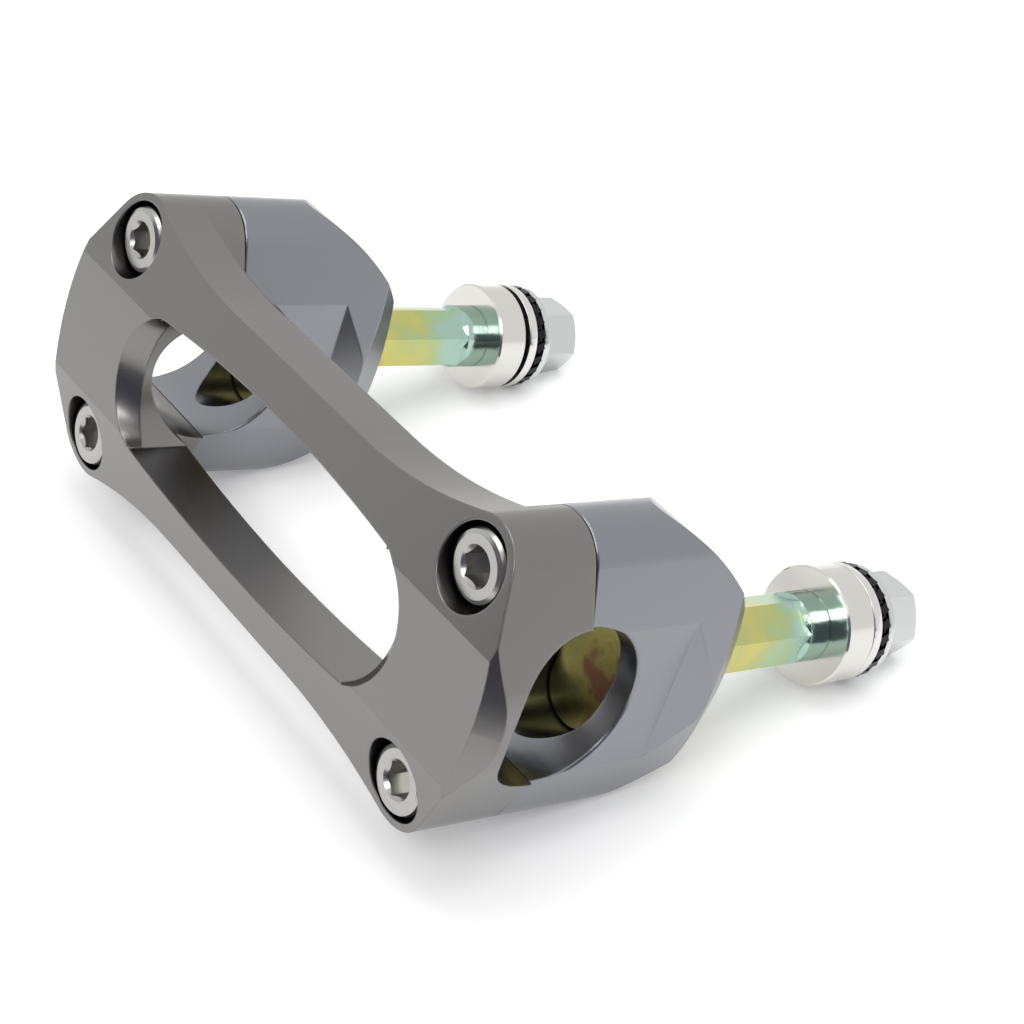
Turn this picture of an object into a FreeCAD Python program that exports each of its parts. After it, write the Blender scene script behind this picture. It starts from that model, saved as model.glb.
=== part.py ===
import FreeCAD, Part
import math
import os

# Handlebar clamp: one-piece top clamp, two lower clamps on long bolts, with spacers and lock nuts.
# Frame, in mm: origin on the handlebar axis midway between the clamps, +X along the bar to the
# right clamp, +Y to the front screws, +Z up out of the top clamp. The bolts point down -Z.

# Handlebar and clamp positions
bar_r = 15.875
clamp_spacing = 113.3
screw_spacing = 43.0
split_z = 0.0

# Plan outline of each clamp: a middle round and two end rounds joined by tangent lines
middle_r = 18.3
lower_middle_r = 16.7
end_r = 9.0

# Top clamp
crown_z = 21.3
crown_half = 12.5
crown_fall = 0.25
arm_bottom_z = 7.75
arm_side_y = 24.5
arm_straight_x = 22.0
window_end_x = 44.4
window_corner_x = 38.5
window_corner_y = 14.0
window_side_y = 16.3
inner_bevel_depth = 3.6
inner_bevel_run = 3.8
inner_bevel_corner_run = 0.6
outer_bevel_r = 53.0
outer_bevel_x = 71.3

# Lower clamp
lower_height = 39.6
flat_half = 12.4
ledge_z = -25.4
ledge_tilt_deg = 52.0
side_break_z = -18.0
base_half_y = 13.5
side_bulge = 2.0
base_half_x = 11.1
base_round_r = 60.0
base_taper_deg = 32.0
seam_bevel = 0.3
bore_bevel = 0.4

# Cap screws, M8 socket head
thread_r = 4.0
head_r = 6.5
head_h = 8.0
head_top_z = 18.2
head_edge = 1.1
socket_flats = 6.0
socket_depth = 4.0
socket_lead = 0.35
screw_length = 25.0
front_screw_turn_deg = 57.0
rear_screw_turn_deg = 26.0
counterbore_gap = 1.0
screw_hole_gap = 0.4
tap_gap = 0.05
tap_extra = 4.0

# Mounting bolts
bar_head_gap = 0.55
tee_width = 14.4
tee_length = 29.6
tee_height = 6.0
tee_edge = 0.3
pocket_gap = 0.2
shank_flats = 12.0
shank_r = 6.81
shank_turn_deg = 23.0
shank_hole_gap = 0.2
journal_length = 5.3
hex_end_fade = 1.1
journal_step = 0.2
journal_lead = 0.35
bolt_thread_r = 5.0
bolt_tip = 1.0

# Spacer, washers and nut
spacer_front_z = -71.8
spacer_r = 11.55
spacer_h = 7.4
spacer_edge = 0.35
washer_r = 11.5
washer_h = 2.2
washer_gap = 0.25
loose_gap = 1.1
ring_r = 10.6
ring_h = 1.7
tooth_count = 24
tooth_tip_r = 11.3
tooth_width = 1.7
tooth_twist_deg = 28.0
tooth_h = 2.1
nut_flats = 15.0
nut_flange_r = 11.0
nut_flange_h = 1.6
nut_cone_h = 3.4
nut_h = 12.4
nut_crown = 1.2

# Places that follow from the sizes above
half_pitch = clamp_spacing / 2.0
screw_y = screw_spacing / 2.0
half_depth = screw_y + end_r
head_floor_z = head_top_z - head_h
tee_top_z = -(bar_r + bar_head_gap)
tee_floor_z = tee_top_z - tee_height
base_z = split_z - lower_height
spacer_back_z = spacer_front_z - spacer_h
hex_end_z = spacer_front_z + journal_length
bore_step_r = shank_r - journal_step
over = 1.0


def vec(x, y, z=0.0):
    return FreeCAD.Vector(x, y, z)


def edge(a, b):
    return Part.LineSegment(vec(*a), vec(*b)).toShape()


def arc(a, m, b):
    return Part.Arc(vec(*a), vec(*m), vec(*b)).toShape()


def plate(edges, z0, z1):
    face = Part.Face(Part.Wire(Part.__sortEdges__(edges)))
    face.translate(vec(0, 0, z0))
    return face.extrude(vec(0, 0, z1 - z0))


def prism_x(points, x0, x1):
    wire = Part.makePolygon([vec(x0, y, z) for y, z in points + points[:1]])
    return Part.Face(wire).extrude(vec(x1 - x0, 0, 0))


def rod(r, z0, z1, x=0.0, y=0.0):
    return Part.makeCylinder(r, z1 - z0, vec(x, y, z0))


def turned(points):
    wire = Part.makePolygon([vec(r, 0, z) for r, z in points + points[:1]])
    return Part.Face(wire).revolve(vec(0, 0, 0), vec(0, 0, 1), 360)


def hex_rod(flats, z0, z1, turn=0.0):
    r = flats / math.sqrt(3.0)
    corners = [(r * math.cos(math.radians(turn + 60 * k)), r * math.sin(math.radians(turn + 60 * k)), z0)
               for k in range(7)]
    return Part.Face(Part.makePolygon([vec(*c) for c in corners])).extrude(vec(0, 0, z1 - z0))


def placed(shape, x=0.0, y=0.0, z=0.0):
    copy = shape.copy()
    copy.translate(vec(x, y, z))
    return copy


# Where a middle round of radius r and an end round share a tangent line, from the clamp's centre
def tangent_points(r):
    tan_y = (r - end_r) / screw_y
    tan_x = math.sqrt(1.0 - tan_y ** 2)
    return (r * tan_x, r * tan_y), (end_r * tan_x, screw_y + end_r * tan_y)


# Closed plan outline of one clamp whose middle round has radius r
def clamp_outline(r):
    mid_tan, end_tan = tangent_points(r)
    edges = []
    for s in (1, -1):
        edges.append(arc((s * mid_tan[0], -mid_tan[1]), (s * r, 0), (s * mid_tan[0], mid_tan[1])))
        edges.append(arc((-end_tan[0], s * end_tan[1]), (0, s * half_depth), (end_tan[0], s * end_tan[1])))
        for t in (1, -1):
            edges.append(edge((s * mid_tan[0], t * mid_tan[1]), (s * end_tan[0], t * end_tan[1])))
    return edges


# Plan outline of the top clamp: clamp ends blended into the two arms
def top_outline():
    mid_tan, end_tan = tangent_points(middle_r)
    run = half_pitch - arm_straight_x
    rise = screw_y - arm_side_y
    flare_r = (run ** 2 + rise ** 2 - end_r ** 2) / (2 * (end_r + rise))
    centre = (arm_straight_x, arm_side_y + flare_r)
    to_end = (half_pitch - centre[0], screw_y - centre[1])
    reach = math.hypot(*to_end)
    touch = (centre[0] + to_end[0] * flare_r / reach, centre[1] + to_end[1] * flare_r / reach)
    turn = math.atan2(to_end[0], -to_end[1]) / 2
    half_way = (centre[0] + flare_r * math.sin(turn), centre[1] - flare_r * math.cos(turn))
    edges = []
    for s in (1, -1):
        edges.append(edge((-arm_straight_x, s * arm_side_y), (arm_straight_x, s * arm_side_y)))
        edges.append(arc((s * (half_pitch + mid_tan[0]), -mid_tan[1]), (s * (half_pitch + middle_r), 0),
                         (s * (half_pitch + mid_tan[0]), mid_tan[1])))
        for t in (1, -1):
            edges.append(arc((s * arm_straight_x, t * arm_side_y), (s * half_way[0], t * half_way[1]),
                             (s * touch[0], t * touch[1])))
            edges.append(arc((s * touch[0], t * touch[1]), (s * half_pitch, t * half_depth),
                             (s * (half_pitch + end_tan[0]), t * end_tan[1])))
            edges.append(edge((s * (half_pitch + end_tan[0]), t * end_tan[1]),
                              (s * (half_pitch + mid_tan[0]), t * mid_tan[1])))
    return edges


# Window between the arms, with bowed ends and sides
def window_outline():
    edges = []
    for s in (1, -1):
        edges.append(arc((s * window_corner_x, -window_corner_y), (s * window_end_x, 0),
                         (s * window_corner_x, window_corner_y)))
        edges.append(arc((-window_corner_x, s * window_corner_y), (0, s * window_side_y),
                         (window_corner_x, s * window_corner_y)))
    return edges


# Bevel round the top of a window end, wide in the middle and narrow at the corners
def inner_bevel(s):
    rings = []
    for t in (0.0, 1.2):
        z = crown_z - inner_bevel_depth * (1.0 - t)
        corner = s * (window_corner_x + inner_bevel_corner_run * t)
        middle = s * (window_end_x + inner_bevel_run * t)
        tip = arc((corner, -window_corner_y, z), (middle, 0, z), (corner, window_corner_y, z))
        back = edge((corner, window_corner_y, z), (corner, -window_corner_y, z))
        rings.append(Part.Wire([tip, back]))
    return Part.makeLoft(rings, True, True)


# Bevel along the top of a clamp end, on a large cone
def outer_bevel(s):
    deep = outer_bevel_r + middle_r
    wedge = turned([(outer_bevel_r, crown_z), (deep, crown_z - middle_r), (deep + over, crown_z - middle_r),
                    (deep + over, crown_z + over), (outer_bevel_r, crown_z + over)])
    wedge.translate(vec(s * (outer_bevel_x - outer_bevel_r), 0, 0))
    zone = Part.makeBox(2 * middle_r, 2 * half_depth, 2 * middle_r, vec(half_pitch, -half_depth, 0))
    if s < 0:
        zone = zone.mirror(vec(0, 0, 0), vec(1, 0, 0))
    return wedge.common(zone)


def top_clamp():
    tall = crown_z + over
    body = plate(top_outline(), arm_bottom_z, tall)
    for s in (1, -1):
        foot = plate(clamp_outline(middle_r), split_z, arm_bottom_z)
        body = body.fuse(placed(foot, s * half_pitch))
    wide = half_depth + over
    side_z = crown_z - crown_fall * (wide - crown_half)
    roof = [(-wide, side_z), (-crown_half, crown_z), (crown_half, crown_z), (wide, side_z),
            (wide, tall + over), (-wide, tall + over)]
    length = half_pitch + middle_r + over
    body = body.cut(prism_x(roof, -length, length))
    body = body.cut(plate(window_outline(), split_z - over, tall))
    for s in (1, -1):
        start = vec(half_pitch - middle_r - over, 0, 0)
        bore = Part.makeCylinder(bar_r, 2 * (middle_r + over), start, vec(1, 0, 0))
        if s < 0:
            bore = bore.mirror(vec(0, 0, 0), vec(1, 0, 0))
        body = body.cut(bore)
        body = body.cut(inner_bevel(s)).cut(outer_bevel(s))
        for t in (1, -1):
            body = body.cut(rod(head_r + counterbore_gap, head_floor_z, tall, s * half_pitch, t * screw_y))
            body = body.cut(rod(thread_r + screw_hole_gap, split_z - over, tall, s * half_pitch, t * screw_y))
    body = body.removeSplitter()
    return body.makeChamfer(seam_bevel, seam_edges(body))


# Outer edges on the split plane, for the thin groove along the seam
def seam_edges(body):
    found = []
    for e in body.Edges:
        box = e.BoundBox
        on_seam = abs(box.ZMin - split_z) < 0.01 and abs(box.ZMax - split_z) < 0.01
        along_bar = box.YLength < 0.01 and abs(abs(box.YMin) - bar_r) < 0.01
        hole = abs(box.XLength - box.YLength) < 0.01 and box.XLength < 2 * head_r
        if on_seam and not along_bar and not hole:
            found.append(e)
    return found


# Slot-shaped block for the bolt head and its pocket
def tee_block(gap, z0, z1):
    r = tee_width / 2 + gap
    y = (tee_length - tee_width) / 2
    edges = []
    for s in (1, -1):
        edges.append(arc((r, s * y), (0, s * (y + r)), (-r, s * y)))
        edges.append(edge((s * r, -y), (s * r, y)))
    return plate(edges, z0, z1)


def lower_clamp():
    body = plate(clamp_outline(lower_middle_r), base_z, split_z)
    wide = middle_r + over
    foot_z = ledge_z - (wide - flat_half) * math.tan(math.radians(ledge_tilt_deg))
    for s in (1, -1):
        side = [(flat_half, split_z + over), (flat_half, ledge_z), (wide, foot_z), (wide, split_z + over)]
        wire = Part.makePolygon([vec(s * x, -half_depth - over, z) for x, z in side + side[:1]])
        body = body.cut(Part.Face(wire).extrude(vec(0, 2 * (half_depth + over), 0)))
        rise = lower_height * math.tan(math.radians(base_taper_deg))
        centre = vec(s * (base_half_x - base_round_r), 0, base_z)
        body = body.common(Part.makeCone(base_round_r, base_round_r + rise, lower_height, centre))
    mid = ((half_depth + base_half_y) / 2, (side_break_z + base_z) / 2)
    slope = math.hypot(half_depth - base_half_y, side_break_z - base_z)
    out = ((side_break_z - base_z) / slope * side_bulge, -(half_depth - base_half_y) / slope * side_bulge)
    for s in (1, -1):
        curve = arc((-wide, s * half_depth, side_break_z), (-wide, s * (mid[0] + out[0]), mid[1] + out[1]),
                    (-wide, s * base_half_y, base_z))
        corners = [(base_half_y, base_z), (base_half_y, base_z - over), (half_depth + over, base_z - over),
                   (half_depth + over, side_break_z), (half_depth, side_break_z)]
        rim = [edge((-wide, s * a[0], a[1]), (-wide, s * b[0], b[1])) for a, b in zip(corners, corners[1:])]
        side = Part.Face(Part.Wire(Part.__sortEdges__([curve] + rim)))
        body = body.cut(side.extrude(vec(2 * wide, 0, 0)))
    body = body.cut(Part.makeCylinder(bar_r, 2 * wide, vec(-wide, 0, 0), vec(1, 0, 0)))
    for s in (1, -1):
        rim_at = vec(s * (flat_half - bore_bevel), 0, 0)
        body = body.cut(Part.makeCone(bar_r, bar_r + bore_bevel, bore_bevel, rim_at, vec(s, 0, 0)))
        tap_end = head_floor_z - screw_length - tap_extra
        body = body.cut(rod(thread_r + tap_gap, tap_end, split_z + over, 0, s * screw_y))
    body = body.cut(tee_block(pocket_gap, tee_floor_z, split_z))
    body = body.cut(rod(shank_flats / math.sqrt(3.0) + shank_hole_gap, base_z - over, split_z))
    body = body.removeSplitter()
    return body.makeChamfer(seam_bevel, seam_edges(body))


# Socket-head cap screw with the top of its head eased off and a hexagon socket
def cap_screw(turn):
    z = head_floor_z
    flank = head_edge / 3
    tip = 0.8
    end = z - screw_length
    body = turned([(0, head_top_z), (head_r - head_edge, head_top_z), (head_r - flank, head_top_z - flank),
                   (head_r, head_top_z - head_edge), (head_r, z), (thread_r, z), (thread_r, end + tip),
                   (thread_r - tip, end), (0, end)])
    mouth = socket_flats / 2
    slope = 2 * socket_lead
    lead = Part.makeCone(mouth, mouth + slope, slope, vec(0, 0, head_top_z - slope))
    socket = hex_rod(socket_flats, head_top_z - socket_depth, head_top_z + over, turn)
    return body.cut(socket).cut(lead)


# Bolt: slot-shaped head, hexagon shank, round journal and threaded end
def mounting_bolt(end_z):
    lead_z = spacer_front_z + journal_lead
    journal = turned([(0, hex_end_z), (shank_r, hex_end_z), (shank_r, lead_z),
                      (bore_step_r, lead_z - journal_step), (bore_step_r, spacer_back_z),
                      (bolt_thread_r, spacer_back_z), (bolt_thread_r, end_z + bolt_tip),
                      (bolt_thread_r - bolt_tip, end_z), (0, end_z)])
    fade = turned([(0, hex_end_z), (shank_r, hex_end_z), (shank_r - hex_end_fade, hex_end_z + hex_end_fade),
                   (0, hex_end_z + hex_end_fade)])
    hexagon = hex_rod(shank_flats, hex_end_z, tee_floor_z + over, shank_turn_deg)
    head = tee_block(0.0, tee_floor_z, tee_top_z)
    top = [e for e in head.Edges if abs(e.BoundBox.ZMin - tee_top_z) < 0.01]
    return journal.fuse(hexagon).fuse(fade).fuse(head.makeChamfer(tee_edge, top)).removeSplitter()


def spacer():
    e = spacer_edge
    z0 = spacer_back_z
    z1 = spacer_front_z
    return turned([(bore_step_r, z0), (spacer_r - e, z0), (spacer_r, z0 + e), (spacer_r, z1 - e),
                   (spacer_r - e, z1), (bore_step_r, z1)])


def flat_washer(z):
    return rod(washer_r, z - washer_h, z).cut(rod(bolt_thread_r + washer_gap, z - washer_h - over, z + over))


# Lock ring with twisted teeth round its rim, which stand proud of it on both faces
def toothed_washer(z):
    middle = z - toothed_h / 2
    ring = rod(ring_r, middle - ring_h / 2, middle + ring_h / 2)
    root = vec(ring_r - over, -tooth_width / 2, -tooth_h / 2)
    tooth = Part.makeBox(tooth_tip_r - root.x, tooth_width, tooth_h, root)
    tooth.rotate(vec(0, 0, 0), vec(1, 0, 0), tooth_twist_deg)
    for k in range(tooth_count):
        blade = tooth.copy()
        blade.rotate(vec(0, 0, 0), vec(0, 0, 1), k * 360.0 / tooth_count)
        blade.translate(vec(0, 0, middle))
        ring = ring.fuse(blade)
    return ring.cut(rod(bolt_thread_r + washer_gap, z - 2 * toothed_h, z + toothed_h))


# Flange nut: round flange, cone up to the hexagon, corners turned off at the free end
def flange_nut(z):
    corner = nut_flats / math.sqrt(3.0)
    end = z - nut_h
    cone_z = z - nut_cone_h
    body = turned([(0, z), (nut_flange_r, z), (nut_flange_r, z - nut_flange_h), (nut_flats / 2, cone_z),
                   (0, cone_z)])
    hexagon = hex_rod(nut_flats, end, z)
    drop = nut_crown * math.tan(math.radians(30))
    crown = turned([(0, z), (corner + over, z), (corner + over, end + nut_crown), (corner, end + drop),
                    (corner - nut_crown, end), (0, end)])
    return body.fuse(hexagon.common(crown)).cut(rod(bolt_thread_r, end - over, z + over))


# Height of the lock ring over its twisted teeth
twist = math.radians(tooth_twist_deg)
toothed_h = tooth_width * math.sin(twist) + tooth_h * math.cos(twist)

shapes = {"top_clamp": top_clamp()}
for side, s, slack in (("left", -1, loose_gap), ("right", 1, 0.0)):
    x = s * half_pitch
    washer_z = spacer_back_z - slack
    ring_z = washer_z - washer_h
    nut_z = ring_z - toothed_h
    shapes["lower_clamp_" + side] = placed(lower_clamp(), x)
    for end, t, turn in (("front", 1, front_screw_turn_deg), ("rear", -1, rear_screw_turn_deg)):
        shapes["cap_screw_" + end + "_" + side] = placed(cap_screw(turn), x, t * screw_y)
    shapes["mounting_bolt_" + side] = placed(mounting_bolt(nut_z - nut_h + bolt_tip), x)
    shapes["spacer_" + side] = placed(spacer(), x)
    shapes["flat_washer_" + side] = placed(flat_washer(washer_z), x)
    shapes["toothed_washer_" + side] = placed(toothed_washer(ring_z), x)
    shapes["flange_nut_" + side] = placed(flange_nut(nut_z), x)

os.makedirs("parts", exist_ok=True)
for node, shape in shapes.items():
    shape.exportStep("parts/" + node + ".step")
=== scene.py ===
"""Handlebar clamp lying on its side on a white table: gunmetal anodised aluminium, bright zinc screws and
nuts, and yellow passivated bolts."""

import math

import bmesh
import bpy
import numpy as np
from mathutils import Matrix, Vector


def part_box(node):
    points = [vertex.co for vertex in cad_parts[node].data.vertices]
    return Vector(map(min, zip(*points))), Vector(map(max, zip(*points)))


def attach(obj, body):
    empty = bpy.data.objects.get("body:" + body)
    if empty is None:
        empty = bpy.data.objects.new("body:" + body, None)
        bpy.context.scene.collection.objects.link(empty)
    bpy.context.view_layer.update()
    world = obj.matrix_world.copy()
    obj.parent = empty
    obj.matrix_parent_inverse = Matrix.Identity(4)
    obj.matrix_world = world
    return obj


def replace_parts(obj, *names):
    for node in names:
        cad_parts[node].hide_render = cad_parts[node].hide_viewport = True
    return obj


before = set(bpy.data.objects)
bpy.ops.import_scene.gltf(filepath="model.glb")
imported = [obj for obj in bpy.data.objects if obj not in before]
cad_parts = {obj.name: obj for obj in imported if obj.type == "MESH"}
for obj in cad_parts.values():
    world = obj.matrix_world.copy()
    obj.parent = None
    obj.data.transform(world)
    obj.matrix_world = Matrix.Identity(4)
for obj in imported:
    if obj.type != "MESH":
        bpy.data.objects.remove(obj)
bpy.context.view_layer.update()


# Top clamp: one block of aluminium milled on all faces, tumbled to a satin and anodised gunmetal grey.
# It spans both clamps with two arms round an open window, and four cap screws pull it down on the handlebar.
MM = 0.001


def linear(hex_colour):
    """sRGB hex to linear RGBA: c/12.92 below 0.04045, else ((c + 0.055)/1.055)^2.4."""
    srgb = np.array([int(hex_colour[i:i + 2], 16) for i in (1, 3, 5)]) / 255
    rgb = np.where(srgb <= 0.04045, srgb / 12.92, ((srgb + 0.055) / 1.055) ** 2.4)
    return (*rgb.tolist(), 1.0)


def add(tree, kind, settings=None, **links):
    """Adds a node, sets its properties from settings, and sets or links its inputs by name."""
    made = tree.nodes.new(kind)
    for name, value in (settings or {}).items():
        setattr(made, name, value)
    for name, value in links.items():
        socket = made.inputs[int(name[1:])] if name[1:].isdigit() else made.inputs[name.replace("_", " ")]
        if isinstance(value, bpy.types.NodeSocket):
            tree.links.new(value, socket)
        else:
            socket.default_value = value
    return made


def material(name):
    """An empty node material, returned with its tree."""
    made = bpy.data.materials.new(name)
    made.use_nodes = True
    made.node_tree.nodes.clear()
    return made, made.node_tree


def finished(made, shader):
    """The material with shader linked to its surface."""
    add(made.node_tree, "ShaderNodeOutputMaterial", Surface=shader.outputs[0])
    return made


def merged_copy(node, name, edge_mm):
    """A copy of a CAD node that stands in for it: its doubled points are merged, the normals of its true
    surfaces are kept and its sharp edges are broken by edge_mm."""
    merge_distance = 0.0005 * MM
    sharp_angle = math.radians(30)
    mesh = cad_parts[node].data.copy()
    mesh.name = name
    normals = np.empty(3 * len(mesh.loops), np.float32)
    mesh.corner_normals.foreach_get("vector", normals)
    work = bmesh.new()
    work.from_mesh(mesh)
    bmesh.ops.remove_doubles(work, verts=work.verts, dist=merge_distance)
    work.to_mesh(mesh)
    work.free()
    if 3 * len(mesh.loops) == len(normals):
        mesh.normals_split_custom_set(normals.reshape(-1, 3))
    piece = bpy.data.objects.new(name, mesh)
    bpy.context.scene.collection.objects.link(piece)
    if edge_mm:
        bevel = piece.modifiers.new("broken_edges", "BEVEL")
        bevel.width = edge_mm * MM
        bevel.segments = 2
        bevel.limit_method = "ANGLE"
        bevel.angle_limit = sharp_angle
        bevel.harden_normals = True
        bevel.use_clamp_overlap = True
    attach(piece, "root")
    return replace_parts(piece, node)


def dress(piece, finish):
    """Gives piece its finish."""
    piece.data.materials.clear()
    piece.data.materials.append(finish)


def anodised(name, colour, roughness):
    """Anodised aluminium: dull metal whose reflections are softened along the milling marks, which run with
    the bar, and by fine turning rings in the bored seats. Tumbling has rounded its edges, which catch a thin
    light. In a thin band about the plane where the top and lower clamps meet, the colour is painted near
    black: painted shade in the gap between them."""
    mark_length = 6 * MM
    mark_width = 0.3 * MM
    ring_length = 8 * MM
    ring_width = 0.35 * MM
    bored_radius = 16.0 * MM
    joint_shade_half_width = 0.14 * MM
    edge_radius = 0.5 * MM
    made, tree = material(name)
    place = add(tree, "ShaderNodeTexCoord")
    where = add(tree, "ShaderNodeSeparateXYZ", Vector=place.outputs["Object"])
    off_axis = add(tree, "ShaderNodeCombineXYZ", Y=where.outputs["Y"], Z=where.outputs["Z"])
    radius = add(tree, "ShaderNodeVectorMath", {"operation": "LENGTH"}, _0=off_axis.outputs[0])
    bored = add(tree, "ShaderNodeMath", {"operation": "LESS_THAN"}, _0=radius.outputs["Value"],
                _1=bored_radius)
    milled = add(tree, "ShaderNodeMapping", Vector=place.outputs["Object"],
                 Scale=(1 / mark_length, 1 / mark_width, 1 / mark_width))
    marks = add(tree, "ShaderNodeTexNoise", Vector=milled.outputs[0], Scale=1.0, Detail=2.0)
    turned = add(tree, "ShaderNodeMapping", Vector=place.outputs["Object"],
                 Scale=(1 / ring_width, 1 / ring_length, 1 / ring_length))
    rings = add(tree, "ShaderNodeTexNoise", Vector=turned.outputs[0], Scale=1.0, Detail=2.0)
    surface = add(tree, "ShaderNodeMix", _0=bored.outputs[0], A=marks.outputs[0], B=rings.outputs[0])
    # Painted shade: in a thin band about the clamps' meeting plane the base colour turns near black, standing
    # for the shade in the gap between them.
    off_joint = add(tree, "ShaderNodeMath", {"operation": "ABSOLUTE"}, _0=where.outputs["Z"])
    painted_joint_shade = add(tree, "ShaderNodeMath", {"operation": "LESS_THAN"}, _0=off_joint.outputs[0],
                _1=joint_shade_half_width)
    metal = add(tree, "ShaderNodeMix", {"data_type": "RGBA"}, _0=painted_joint_shade.outputs[0], _6=linear(colour),
                _7=linear("#26262a"))
    tumbled = add(tree, "ShaderNodeBevel", {"samples": 6}, Radius=edge_radius)
    bump = add(tree, "ShaderNodeBump", Height=surface.outputs["Result"], Strength=0.1, Distance=0.02 * MM,
               Normal=tumbled.outputs[0])
    shader = add(tree, "ShaderNodeBsdfPrincipled", Base_Color=metal.outputs[2], Metallic=1.0,
                 Roughness=roughness, Normal=bump.outputs[0])
    return finished(made, shader)


cap_finish = anodised("anodised_gunmetal", "#817f7d", 0.25)
dress(merged_copy("top_clamp", "top_clamp_milled", 0.0), cap_finish)


# Lower clamps: milled from the same aluminium and anodised a slightly bluer grey.
# Each is clamped to the bracket by the long bolt that sits in the pocket of its bar seat.
lower_finish = anodised("anodised_blue_grey", "#8b8c91", 0.25)
for side in ("left", "right"):
    dress(merged_copy("lower_clamp_" + side, "lower_clamp_milled_" + side, 0.0), lower_finish)


# Cap screws: cold-headed steel, M8 with a hexagon socket, bright zinc plated.
# They stand in counterbores at the four corners of the top clamp.
def plated(name, colour, roughness):
    """Bright zinc on steel: a clear metal with soft, slightly uneven reflections."""
    cloud_size = 3 * MM
    made, tree = material(name)
    place = add(tree, "ShaderNodeTexCoord")
    clouds = add(tree, "ShaderNodeTexNoise", Vector=place.outputs["Object"], Scale=1 / cloud_size, Detail=3.0)
    bump = add(tree, "ShaderNodeBump", Height=clouds.outputs[0], Strength=0.08, Distance=0.1 * MM)
    shader = add(tree, "ShaderNodeBsdfPrincipled", Base_Color=linear(colour), Metallic=1.0,
                 Roughness=roughness, Normal=bump.outputs[0])
    return finished(made, shader)


screw_finish = plated("bright_zinc_screw", "#b0afab", 0.27)
for end in ("front", "rear"):
    for side in ("left", "right"):
        corner = end + "_" + side
        dress(merged_copy("cap_screw_" + corner, "cap_screw_zinc_" + corner, 0.0), screw_finish)


# Mounting bolts: steel with a slot-shaped head, a hexagon milled along the shank and a round journal,
# zinc plated and yellow passivated, which leaves a thin film that shines green, yellow and pink.
def yellow_zinc(name, head_z, spacer_z, shift):
    """Chromate film on zinc: its thickness drifts along the bolt and in clouds, and the colour with it, from
    olive at the head through orange and yellow to pale green and cyan at the spacer, where it is also
    polished. The clouds are slid by shift along the bar, so that each bolt has its own."""
    cloud_size = 11 * MM
    grain_size = 1.3 * MM
    made, tree = material(name)
    place = add(tree, "ShaderNodeTexCoord")
    where = add(tree, "ShaderNodeSeparateXYZ", Vector=place.outputs["Object"])
    along_bolt = add(tree, "ShaderNodeMapRange", Value=where.outputs["Z"], From_Min=head_z, From_Max=spacer_z)
    patches = add(tree, "ShaderNodeMapping", Vector=place.outputs["Object"], Location=(shift, 0, 0))
    clouds = add(tree, "ShaderNodeTexNoise", Vector=patches.outputs[0], Scale=1 / cloud_size, Detail=3.0)
    drift = add(tree, "ShaderNodeMapRange", {"clamp": False}, Value=clouds.outputs[0], From_Min=0.3,
                From_Max=0.7, To_Min=-0.08, To_Max=0.28)
    thickness = add(tree, "ShaderNodeMath", {"operation": "ADD"}, _0=along_bolt.outputs["Result"],
                    _1=drift.outputs["Result"])
    film = add(tree, "ShaderNodeValToRGB", Fac=thickness.outputs[0])
    stops = [(0.0, "#9c7458"), (0.06, "#b5ab62"), (0.30, "#8c9468"), (0.50, "#cfa866"), (0.58, "#c9c070"),
             (0.76, "#b4bc7c"), (0.90, "#a6bf98"), (0.98, "#a4c2b4")]
    ramp = film.color_ramp
    while len(ramp.elements) < len(stops):
        ramp.elements.new(0.5)
    for element, (at, colour) in zip(ramp.elements, stops):
        element.position = at
        element.color = linear(colour)
    grain = add(tree, "ShaderNodeTexNoise", Vector=place.outputs["Object"], Scale=1 / grain_size, Detail=3.0)
    bump = add(tree, "ShaderNodeBump", Height=grain.outputs[0], Strength=0.5, Distance=0.1 * MM)
    polish = add(tree, "ShaderNodeMapRange", Value=along_bolt.outputs["Result"], From_Min=0.86, From_Max=0.9,
                 To_Min=0.3, To_Max=0.12)
    shader = add(tree, "ShaderNodeBsdfPrincipled", Base_Color=film.outputs[0], Metallic=1.0,
                 Roughness=polish.outputs["Result"], Normal=bump.outputs[0])
    return finished(made, shader)


bolt_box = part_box("mounting_bolt_right")
bolt_head_z = bolt_box[1].z
spacer_top_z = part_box("spacer_right")[1].z
bolt_spacing = bolt_box[0].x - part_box("mounting_bolt_left")[0].x
for side, shift in (("left", bolt_spacing), ("right", -bolt_spacing)):
    bolt_finish = yellow_zinc("yellow_zinc_passivated_" + side, bolt_head_z, spacer_top_z, shift)
    dress(merged_copy("mounting_bolt_" + side, "mounting_bolt_zinc_" + side, 0.0), bolt_finish)


# Spacers: short bushes turned from aluminium bar and left bright.
# One slides on each bolt's round journal and would press on the bracket from below.
spacer_finish = plated("bright_turned_aluminium", "#d5d3ce", 0.15)
for side in ("left", "right"):
    dress(merged_copy("spacer_" + side, "spacer_turned_" + side, 0.0), spacer_finish)


# Flat washers: punched steel, bright zinc plated, with edges that the punch has left a little round.
# The right one lies on its spacer, and the left one is loose on its bolt, as in the photograph.
washer_finish = plated("bright_zinc_washer", "#d8d7d4", 0.2)
for side in ("left", "right"):
    dress(merged_copy("flat_washer_" + side, "flat_washer_zinc_" + side, 0.1), washer_finish)


# Lock washers: spring steel with twisted teeth, blackened in hot oxide salts.
# They lie between the flat washers and the nuts, to keep the nuts from turning back.
black_finish = plated("black_oxide_steel", "#2a282c", 0.35)
for side in ("left", "right"):
    dress(merged_copy("toothed_washer_" + side, "toothed_washer_black_" + side, 0.0), black_finish)


# Flange nuts: forged steel M10 nuts with a round flange, bright zinc plated.
# They are screwed on the bolts' ends and hold the washers and spacers on them.
nut_finish = plated("bright_zinc_nut", "#cccfcd", 0.22)
for side in ("left", "right"):
    dress(merged_copy("flange_nut_" + side, "flange_nut_zinc_" + side, 0.15), nut_finish)


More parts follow.
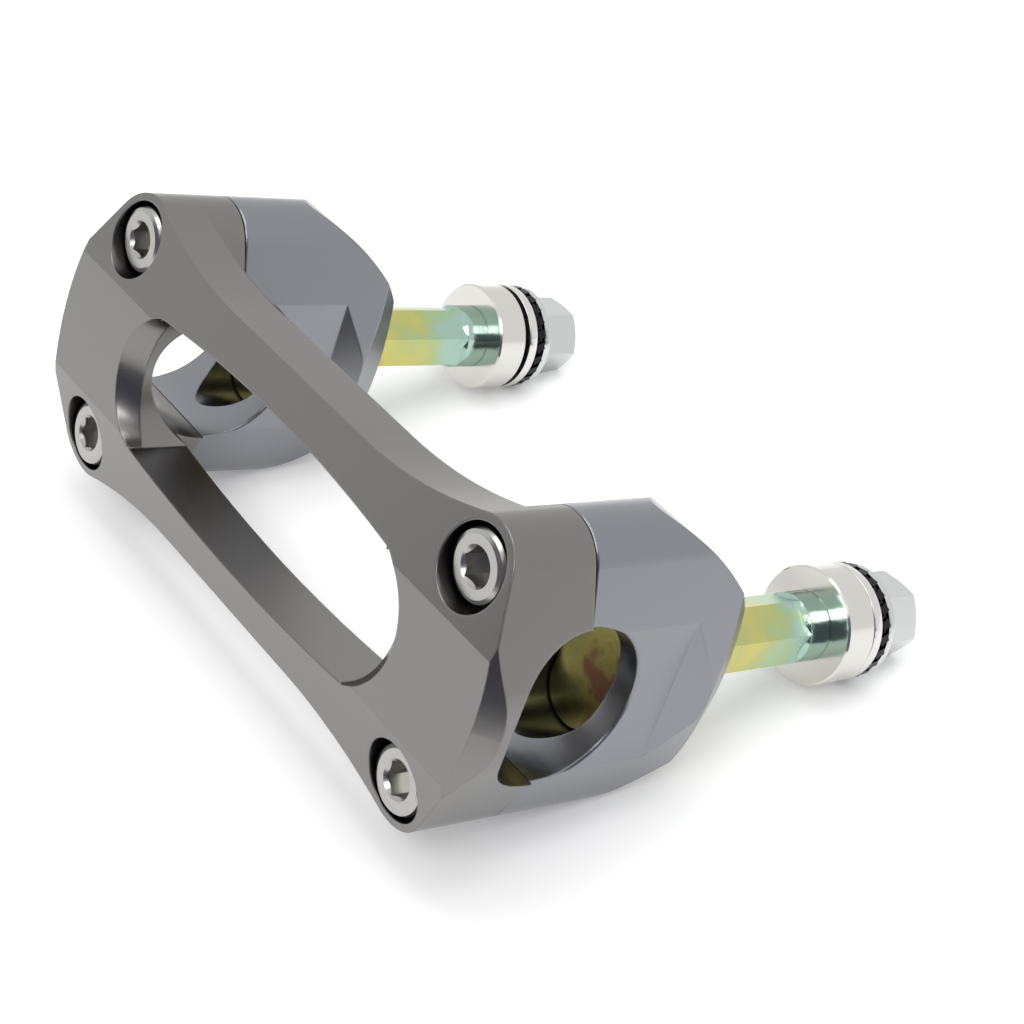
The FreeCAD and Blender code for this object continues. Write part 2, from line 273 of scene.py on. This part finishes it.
# Table: a matt white board that the part lies on, touching the clamps' rear edges and the spacers.
# Its back lets the camera through, so that views from under the part show it, and past its end polished
# metal mirrors the dark room.
clamp_edge_z = -18 * MM
table_gap = 0.2 * MM
table_half = 3.0
sheet_end = 0.2
camera_azimuth = math.radians(48)
board_glow = 0.21
room_colour = linear("#686874")
clamp_edge = Vector((0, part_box("top_clamp")[0].y, clamp_edge_z))
spacer_edge = Vector((0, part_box("spacer_right")[0].y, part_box("spacer_right")[0].z))
along = (spacer_edge - clamp_edge).normalized()
table_up = Vector((1, 0, 0)).cross(along)
if table_up.y < 0:
    table_up.negate()
table_middle = clamp_edge - table_up * table_gap
across = Vector((1, 0, 0))
corners = [table_middle + across * (i * table_half) + along * (j * table_half)
           for i, j in ((-1, -1), (1, -1), (1, 1), (-1, 1))]
table_mesh = bpy.data.meshes.new("table")
table_mesh.from_pydata([tuple(c) for c in corners], [], [(0, 1, 2, 3)])
if table_mesh.polygons[0].normal.dot(table_up) < 0:
    table_mesh.flip_normals()
table = bpy.data.objects.new("table", table_mesh)
bpy.context.scene.collection.objects.link(table)

front = (across * math.cos(camera_azimuth) - along * math.sin(camera_azimuth)).normalized()
table_finish, tree = material("matt_white_board")
rays = add(tree, "ShaderNodeLightPath")
sides = add(tree, "ShaderNodeNewGeometry")
place = add(tree, "ShaderNodeTexCoord")
reach = add(tree, "ShaderNodeVectorMath", {"operation": "DOT_PRODUCT"}, _0=place.outputs["Object"], _1=front)
past_end = add(tree, "ShaderNodeMath", {"operation": "GREATER_THAN"}, _0=reach.outputs["Value"], _1=sheet_end)
mirrored = add(tree, "ShaderNodeMath", {"operation": "MULTIPLY"}, _0=past_end.outputs[0],
               _1=rays.outputs["Is Glossy Ray"])
board = add(tree, "ShaderNodeBsdfDiffuse", Color=linear("#f2f2f2"))
glow = add(tree, "ShaderNodeEmission", Color=(1, 1, 1, 1), Strength=board_glow)
lit = add(tree, "ShaderNodeAddShader", _0=board.outputs[0], _1=glow.outputs[0])
dark = add(tree, "ShaderNodeEmission", Color=room_colour, Strength=1.0)
shown = add(tree, "ShaderNodeMixShader", _0=mirrored.outputs[0], _1=lit.outputs[0], _2=dark.outputs[0])
clear = add(tree, "ShaderNodeBsdfTransparent")
finished(table_finish, add(tree, "ShaderNodeMixShader", _0=sides.outputs["Backfacing"], _1=shown.outputs[0],
                           _2=clear.outputs[0]))
table_mesh.materials.append(table_finish)


# Room: a white tent of cloth behind and over the part, open on the camera's side below its roof,
# where polished metal mirrors the dark room. The camera itself sees plain white.
tent_strength = 0.95
roof_edge = 0.66
roof_full = 0.80
opening_edge = 0.14
opening_full = 0.36
world = bpy.data.worlds.new("light_tent")
bpy.context.scene.world = world
world.use_nodes = True
tree = world.node_tree
tree.nodes.clear()
rays = add(tree, "ShaderNodeLightPath")
looking = add(tree, "ShaderNodeTexCoord")
height = add(tree, "ShaderNodeVectorMath", {"operation": "DOT_PRODUCT"}, _0=looking.outputs["Generated"],
             _1=table_up)
to_front = add(tree, "ShaderNodeVectorMath", {"operation": "DOT_PRODUCT"}, _0=looking.outputs["Generated"],
               _1=front)
low = add(tree, "ShaderNodeMapRange", {"interpolation_type": "SMOOTHSTEP"}, Value=height.outputs["Value"],
          From_Min=roof_full, From_Max=roof_edge)
ahead_of = add(tree, "ShaderNodeMapRange", {"interpolation_type": "SMOOTHSTEP"},
               Value=to_front.outputs["Value"], From_Min=opening_edge, From_Max=opening_full)
opening = add(tree, "ShaderNodeMath", {"operation": "MULTIPLY"}, _0=low.outputs["Result"],
              _1=ahead_of.outputs["Result"])
tent = add(tree, "ShaderNodeBackground", Color=(1, 1, 1, 1), Strength=tent_strength)
room = add(tree, "ShaderNodeBackground", Color=room_colour, Strength=1.0)
around = add(tree, "ShaderNodeMixShader", _0=opening.outputs[0], _1=tent.outputs[0], _2=room.outputs[0])
white = add(tree, "ShaderNodeBackground", Color=(1, 1, 1, 1), Strength=1.0)
seen = add(tree, "ShaderNodeMixShader", _0=rays.outputs["Is Camera Ray"], _1=around.outputs[0],
           _2=white.outputs[0])
add(tree, "ShaderNodeOutputWorld", Surface=seen.outputs[0])


# Softboxes: two square lamps. The larger stands over the table and gives the soft shadow.
# The smaller one, on the front right, is mirrored along the edges that face it.
def softbox(name, place, size, watts):
    """A square area lamp at place, turned to face the part."""
    lamp = bpy.data.lights.new(name, "AREA")
    lamp.size = size
    lamp.energy = watts
    box = bpy.data.objects.new(name, lamp)
    box.location = place
    box.rotation_euler = (-Vector(place)).to_track_quat("-Z", "Y").to_euler()
    bpy.context.scene.collection.objects.link(box)


softbox("softbox_top", table_up * 0.7 + along * 0.1, 0.5, 1.8)
softbox("softbox_key", Vector((0.37, 0.55, 0.75)) * 0.8, 0.3, 1.6)


# Camera: stands over the front right corner, as far off as the photograph's perspective shows.
# Its place, its axes and its focal length were fitted to edge points measured in the photograph.
camera_place = Vector((268.746, 182.238, 239.054)) * MM
right = Vector((0.575745, 0.313934, -0.754959))
down = Vector((0.536049, -0.842150, 0.058610))
ahead = Vector((-0.617389, -0.438440, -0.653147))
focal_px = 2175.085
picture_px = 1024
sensor_mm = 36.0
lens = bpy.data.cameras.new("camera")
lens.sensor_width = sensor_mm
lens.lens = focal_px * sensor_mm / picture_px
lens.clip_start = 0.01
lens.clip_end = 20.0
camera = bpy.data.objects.new("camera", lens)
turn = Matrix((right, -down, -ahead)).transposed()
camera.matrix_world = Matrix.Translation(camera_place) @ turn.to_4x4()
bpy.context.scene.collection.objects.link(camera)
bpy.context.scene.camera = camera


# Picture: colours are shown as they are set.
bpy.context.scene.view_settings.view_transform = "Standard"
